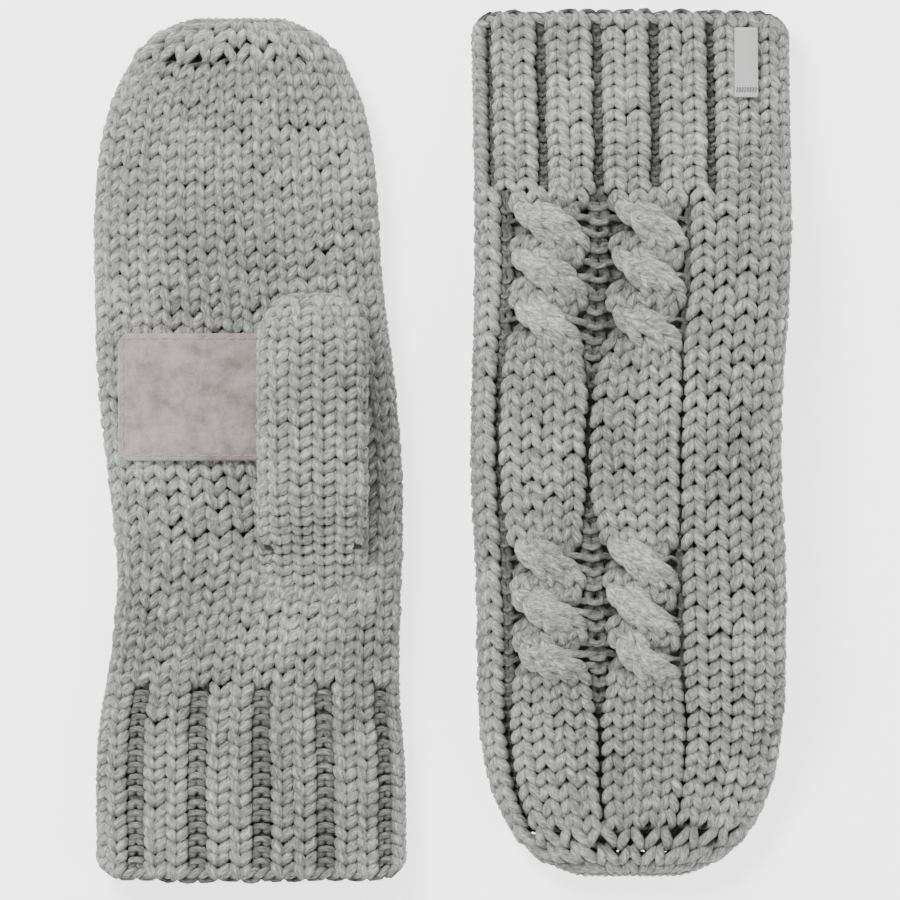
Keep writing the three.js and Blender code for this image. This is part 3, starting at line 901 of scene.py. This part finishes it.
def bind_off(mitten):
    """The cast-on edge at the mouth: two strands that wind round each other, a stitch to a turn."""
    ring, normals = mouth_ring(mitten, EDGE_RADIUS + 2.0, EDGE_RADIUS + 0.8)
    ring, normals = np.vstack([ring, ring[:1]]), np.vstack([normals, normals[:1]])
    steps = distances(ring)
    wanted = np.linspace(0, steps[-1], int(steps[-1] / 0.7))
    ring, normals = [
        np.stack([np.interp(wanted, steps, line[:, k]) for k in range(3)], axis=1) for line in (ring, normals)
    ]
    angle = wanted / steps[-1] * round(steps[-1] / STITCH) * TAU
    yarns = Yarns(mitten)
    for start in (0, math.pi):
        sideways, along = np.cos(angle + start)[:, None], np.sin(angle + start)[:, None]
        path = ring + 0.9 * sideways * normals + 0.8 * along * [0, 1, 0]
        # Painted shade: each strand's colour darkens where it turns in behind the other.
        yarns.add(path, normals, EDGE_RADIUS, height=1.6 * sideways[:, 0])
    yarns.make("cast_on_edge", YARN, "cuff")


def mouth_stitches(mitten):
    """The thread that whips the lining's edge to the knit, all round the mouth."""
    outer, normals = mouth_ring(mitten, 4.4, 2.6)
    inner, _ = mouth_ring(mitten, FLEECE_DEPTH + 0.2, 3.4)
    yarns = Yarns(mitten, sides=6)
    bow = np.linspace(0, 1, STITCH_POINTS)[:, None]
    for k in range(0, len(outer) - 6, 8):
        path = outer[k] * (1 - bow) + inner[k + 4] * bow
        path[:, 1] -= 1.7 * np.sin(np.pi * bow[:, 0])
        yarns.add(path, np.tile(normals[k], (STITCH_POINTS, 1)), 0.36)
    yarns.make("mouth_stitches", THREAD, "cuff", "mouth_thread")


def thumb_seam(mitten):
    """The yarn that sews the thumb on, in twenty slanted stitches round its root."""
    palm = float(mitten.middle(THUMB_PIVOT[1])) + BODY_HEIGHT / 2
    angle = np.linspace(0, TAU, 200)
    radius = THUMB_SEAM_RADIUS + 0.5 * np.sin(angle * 20)
    path = np.stack([
        THUMB_PIVOT[0] + radius * np.cos(angle),
        THUMB_PIVOT[1] + radius * np.sin(angle),
        palm - 0.8 + 2.0 * np.sin(angle) + 0.4 * np.cos(angle * 20),
    ], axis=1)
    yarns = Yarns(mitten)
    # Painted shade: the seam yarn's colour is shaded for a height of 0.6.
    yarns.add(path, np.tile([0, 0, 1.0], (len(path), 1)), 1.1, height=0.6)
    yarns.make("thumb_seam_yarn", YARN, "thumb", "thumb_seam")


# ------------ linings

def fleece_tube(name, mitten, rings, nodes, where, blend):
    """A closed, slightly lumpy skin of pile through rings of points."""
    grid = np.array(rings)
    rows, count = grid.shape[:2]
    out = unit(grid - grid.mean(axis=1, keepdims=True))
    lumps = np.clip(rng.normal(0, 1, (rows, count)), -2, 2)
    lumps += 0.5 * (np.roll(lumps, 1, 0) + np.roll(lumps, 1, 1))
    vertices = (grid + out * lumps[..., None] * FLEECE_LUMPS).reshape(-1, 3)
    i, j = np.meshgrid(np.arange(rows), np.arange(count), indexing="ij")
    i2, j2 = (i + 1) % rows, (j + 1) % count
    faces = np.stack([i * count + j, i * count + j2, i2 * count + j2, i2 * count + j], -1).reshape(-1, 4)
    if mitten.up < 0:
        faces = faces[:, ::-1]
    made = mesh_object(f"{mitten.prefix}_{name}", mitten.place(vertices), faces, FLEECE)
    finish(made, mitten, where, *nodes, blend=blend)


def fleece_skin(palm, back, y_from, y_to, step, lip=False, depth=FLEECE_DEPTH):
    """Rings down the outside of a lining and back up its inside, so that it closes on itself."""
    q = np.linspace(0, 1, 97)

    def ring(y, depth):
        """One closed ring of points through both surfaces, at a depth."""
        points = []
        for surface, order in ((palm, q), (back, q[::-1])):
            along = np.full_like(q, surface.along_at(y))
            if lip:
                along = cuff_warp(order, along)[1]
            at, normal = surface.at(order, along)
            points.append((at - normal * depth)[:-1])
        return np.concatenate(points)

    ys = np.arange(y_from, y_to, step)
    # The lip at the mouth is a fat roll that fills the way out to the knit.
    roll = [LIP * math.exp(-(((y - y_from) / 5) ** 2)) if lip else 0 for y in ys]
    outer = [ring(y, depth - FLEECE_THICKNESS - fat) for y, fat in zip(ys[::-1], roll[::-1])]
    turn = ((-0.7, 2.6), (-1.3, 1.9), (-1.6, 1.1), (-1.4, 0.3), (-0.8, -0.3)) if lip else ()
    edge = [ring(y_from + along, depth - away) for along, away in turn]
    inner = [ring(y, depth + 0.2 * fat) for y, fat in zip(ys, roll)]
    return outer + edge + inner


def linings(mitten):
    """The cuff's facing, the hand's lining and the thumb's lining."""
    palm, back = surfaces[mitten.prefix, 1], surfaces[mitten.prefix, -1]
    wrist = (("cuff", "hand"), wrist_bend(mitten))
    root = (("hand", "thumb"), thumb_bend(mitten))
    rings = fleece_skin(palm, back, 2.4, WRIST + 1, 1.6, lip=True)
    fleece_tube("facing_fleece", mitten, rings, ["cuff_facing"], *wrist)
    rings = fleece_skin(palm, back, WRIST + 2, mitten.length - 3, 3.0)
    fleece_tube("lining_fleece", mitten, rings, ["palm_lining", "back_lining"], *wrist)
    top, bottom = [thumb_surface(mitten, side) for side in (1, -1)]
    first, last = THUMB_PIVOT[1] + 8, THUMB_PIVOT[1] + THUMB_REACH - 6
    rings = fleece_skin(top, bottom, first, last, 3.0, depth=THUMB_FLEECE_DEPTH)
    fleece_tube("thumb_fleece", mitten, rings, ["thumb_lining"], *root)


# ------------ patches and labels

def sheet_mesh(name, mitten, area, corner, lower, upper, material, spacing=0.8):
    """A thin sheet over a plan area with rounded corners. lower and upper give its two faces' heights."""
    left, right, low, high = area
    nx, ny = int((right - left) / spacing), int((high - low) / spacing)
    x, y = np.meshgrid(np.linspace(left, right, nx + 1), np.linspace(low, high, ny + 1))
    cx = np.clip(x, left + corner, right - corner)
    cy = np.clip(y, low + corner, high - corner)
    away = np.hypot(x - cx, y - cy)
    pull = np.minimum(1, corner / np.maximum(away, 1e-6))
    x, y = cx + (x - cx) * pull, cy + (y - cy) * pull
    edge = np.where(away > 0, corner - away * pull, 1e9)
    straight = np.minimum.reduce([x - left, right - x, y - low, high - y])
    edge = np.minimum(edge, straight)
    under = np.stack([x, y, lower(x, y, edge)], -1).reshape(-1, 3)
    over = np.stack([x, y, upper(x, y, edge)], -1).reshape(-1, 3)
    n = (nx + 1) * (ny + 1)
    i, j = np.meshgrid(np.arange(ny), np.arange(nx), indexing="ij")
    a = (i * (nx + 1) + j).ravel()
    up = np.stack([a, a + 1, a + nx + 2, a + nx + 1], -1)
    right_edge, left_edge = np.arange(ny) * (nx + 1) + nx, (ny - np.arange(ny)) * (nx + 1)
    border = np.concatenate([np.arange(nx), right_edge, (n - 1) - np.arange(nx), left_edge])
    following = np.roll(border, -1)
    sides = np.stack([border, following, following + n, border + n], -1)
    faces = np.concatenate([up + n, up[:, ::-1], sides])
    if mitten.up < 0:
        faces = faces[:, ::-1]
    vertices = mitten.place(np.concatenate([under, over]))
    return mesh_object(f"{mitten.prefix}_{name}", vertices, faces, material)


def stitch_line(mitten, path, heights, length=2.5, gap=0.8, radius=0.27):
    """Separate stitches of thread along a path in plan, each dipping in at its ends."""
    steps = distances(path)
    yarns = Yarns(mitten, sides=6)
    count = int(steps[-1] / (length + gap))
    pitch = steps[-1] / count
    for k in range(count):
        at = np.linspace(k * pitch, k * pitch + length, STITCH_POINTS)
        x, y = [np.interp(at, steps, path[:, axis]) for axis in (0, 1)]
        bow = 1 - np.linspace(-1, 1, STITCH_POINTS) ** 4
        z = heights(x, y) - radius * 1.3 + radius * 1.5 * bow
        yarns.add(np.stack([x, y, z], -1), np.tile([0, 0, 1.0], (STITCH_POINTS, 1)), radius)
    return yarns


def rounded_path(area, corner, inset):
    """A closed path in plan, at an inset from the edge of an area with rounded corners."""
    left, right, low, high = area[0] + inset, area[1] - inset, area[2] + inset, area[3] - inset
    r = corner - inset
    path = []
    middles = ((right - r, low + r), (right - r, high - r), (left + r, high - r), (left + r, low + r))
    for (cx, cy), start in zip(middles, (-90, 0, 90, 180)):
        for angle in np.radians(start + np.linspace(0, 90, 7)):
            path.append((cx + r * math.cos(angle), cy + r * math.sin(angle)))
    return np.array(path + path[:1])


def palm_patch(mitten):
    """The suede patch on the palm, pressed in along its line of stitches."""

    def skin(x, y):
        uneven = 0.16 * np.sin(x * 0.31 + 1.3 * np.sin(y * 0.23)) + 0.12 * np.sin(y * 0.4 + x * 0.13)
        return top_of(mitten, x, y) + 0.35 + uneven

    def lower(x, y, edge):
        return skin(x, y) - 0.25

    def upper(x, y, edge):
        rounding = 0.5 * np.exp(-edge / 0.45)
        seam = 0.3 * np.exp(-(((edge - PATCH_SEAM) / 0.55) ** 2))
        return skin(x, y) + PATCH_THICKNESS - 0.25 - rounding - seam

    made = sheet_mesh("suede_patch", mitten, PATCH_AREA, PATCH_CORNER, lower, upper, SUEDE)
    finish(made, mitten, "hand", "palm_patch")
    path = rounded_path(PATCH_AREA, PATCH_CORNER, PATCH_SEAM)
    yarns = stitch_line(mitten, path, lambda x, y: skin(x, y) + PATCH_THICKNESS - 0.45)
    stitches = yarns.make("patch_stitches", TAUPE_THREAD, "hand", "patch_stitching")


def node_area(mitten, name):
    """A CAD node's box in the mitten's own plan: left, right, low and high."""
    low, high = [Vector(v) * 1000 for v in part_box(name)]
    across = sorted((v.x - mitten.origin[0]) * mitten.up for v in (low, high))
    along = sorted((v.y - mitten.origin[1]) * mitten.up for v in (low, high))
    return (*across, *along)


def cuff_label():
    """The blank woven label on the left cuff, with the tack that holds its end."""
    area = node_area(LEFT, "left_cuff_label")
    middle = (area[0] + area[1]) / 2

    def skin(x, y):
        # The rib's ridges lift the tape's middle, and it bows a little along its length.
        bow = 0.12 * np.sin((y - area[2]) * 0.33) + 0.15 * np.sin((x - middle) * 0.9)
        return top_of(LEFT, x, y, -1) - 0.05 + bow

    def outer(x, y, edge):
        return skin(x, y) - 0.55 + 0.25 * np.exp(-edge / 0.35)

    def inner(x, y, edge):
        return skin(x, y)

    made = sheet_mesh("woven_label", LEFT, area, 0.4, outer, inner, SATIN, spacing=0.45)
    finish(made, LEFT, "cuff", "cuff_label")
    yarns = Yarns(LEFT, sides=6)
    t = np.linspace(-1, 1, STITCH_POINTS)
    y = area[3] - 2.3 + t * 0.75
    for middle_x in np.linspace(area[0] + 0.7, area[1] - 0.7, 8):
        x = np.full(STITCH_POINTS, middle_x)
        z = skin(x, y) - 0.5 - 0.25 * (1 - t**4)
        yarns.add(np.stack([x + t * 0.12, y, z], -1), np.tile([0, 0, -1.0], (STITCH_POINTS, 1)), 0.22)
    yarns.make("label_stitches", THREAD, "cuff", "label_tack")


def care_label():
    """The blank care label sewn into the right mitten."""
    area = node_area(RIGHT, "right_care_label")
    height = (Vector(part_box("right_care_label")[0]) * 1000).z

    def lower(x, y, edge):
        return height - 0.5 + 0.5 * np.sin((x - area[0]) * 0.28) + 0.35 * np.sin((y - area[2]) * 0.22)

    def upper(x, y, edge):
        return lower(x, y, edge) + CARE_TAPE

    made = sheet_mesh("care_tape", RIGHT, area, 0.5, lower, upper, SATIN, spacing=0.6)
    finish(made, RIGHT, "cuff", "care_label")


for mitten in (RIGHT, LEFT):
    body_knit(mitten)
    thumb_knit(mitten)
    side_seam(mitten)
    bind_off(mitten)
    mouth_stitches(mitten)
    thumb_seam(mitten)
    linings(mitten)
    palm_patch(mitten)
cuff_label()
care_label()

# ------------ floor, light and camera

def pale_floor():
    material, tree, shader = new_material("pale_floor")
    set_inputs(shader, {
        "Base Color": (0.93, 0.93, 0.925, 1), "Roughness": 0.9,
        "Emission Color": (1, 1, 1, 1), "Emission Strength": 2.0,
    })
    bpy.ops.mesh.primitive_plane_add(size=4, location=(0, 0, FLOOR_HEIGHT))
    floor = bpy.context.object
    floor.name = "floor"
    floor.data.materials.append(material)


def area_light(name, place, size, power):
    data = bpy.data.lights.new(name, "AREA")
    data.size = size
    data.energy = power
    lamp = bpy.data.objects.new(name, data)
    lamp.location = place
    lamp.rotation_euler = (-Vector(place)).to_track_quat("-Z", "Y").to_euler()
    bpy.context.scene.collection.objects.link(lamp)


def studio():
    """An even white world, a soft key light and a weak fill, and the camera straight above."""
    world = bpy.data.worlds.new("studio")
    bpy.context.scene.world = world
    world.use_nodes = True
    set_inputs(world.node_tree.nodes["Background"], {"Color": (1, 1, 1, 1), "Strength": 1.0})
    area_light("key", (-0.5, 0.7, 1.2), 0.5, 30)
    area_light("fill", (0.9, -0.5, 1.2), 0.9, 5)
    camera = bpy.data.objects.new("camera", bpy.data.cameras.new("camera"))
    camera.location = CAMERA
    camera.data.lens = SENSOR / 2 / (SEEN_HALF_WIDTH / (CAMERA[2] - SEEN_HEIGHT))
    camera.data.clip_end = 20
    bpy.context.scene.collection.objects.link(camera)
    bpy.context.scene.camera = camera


pale_floor()
studio()
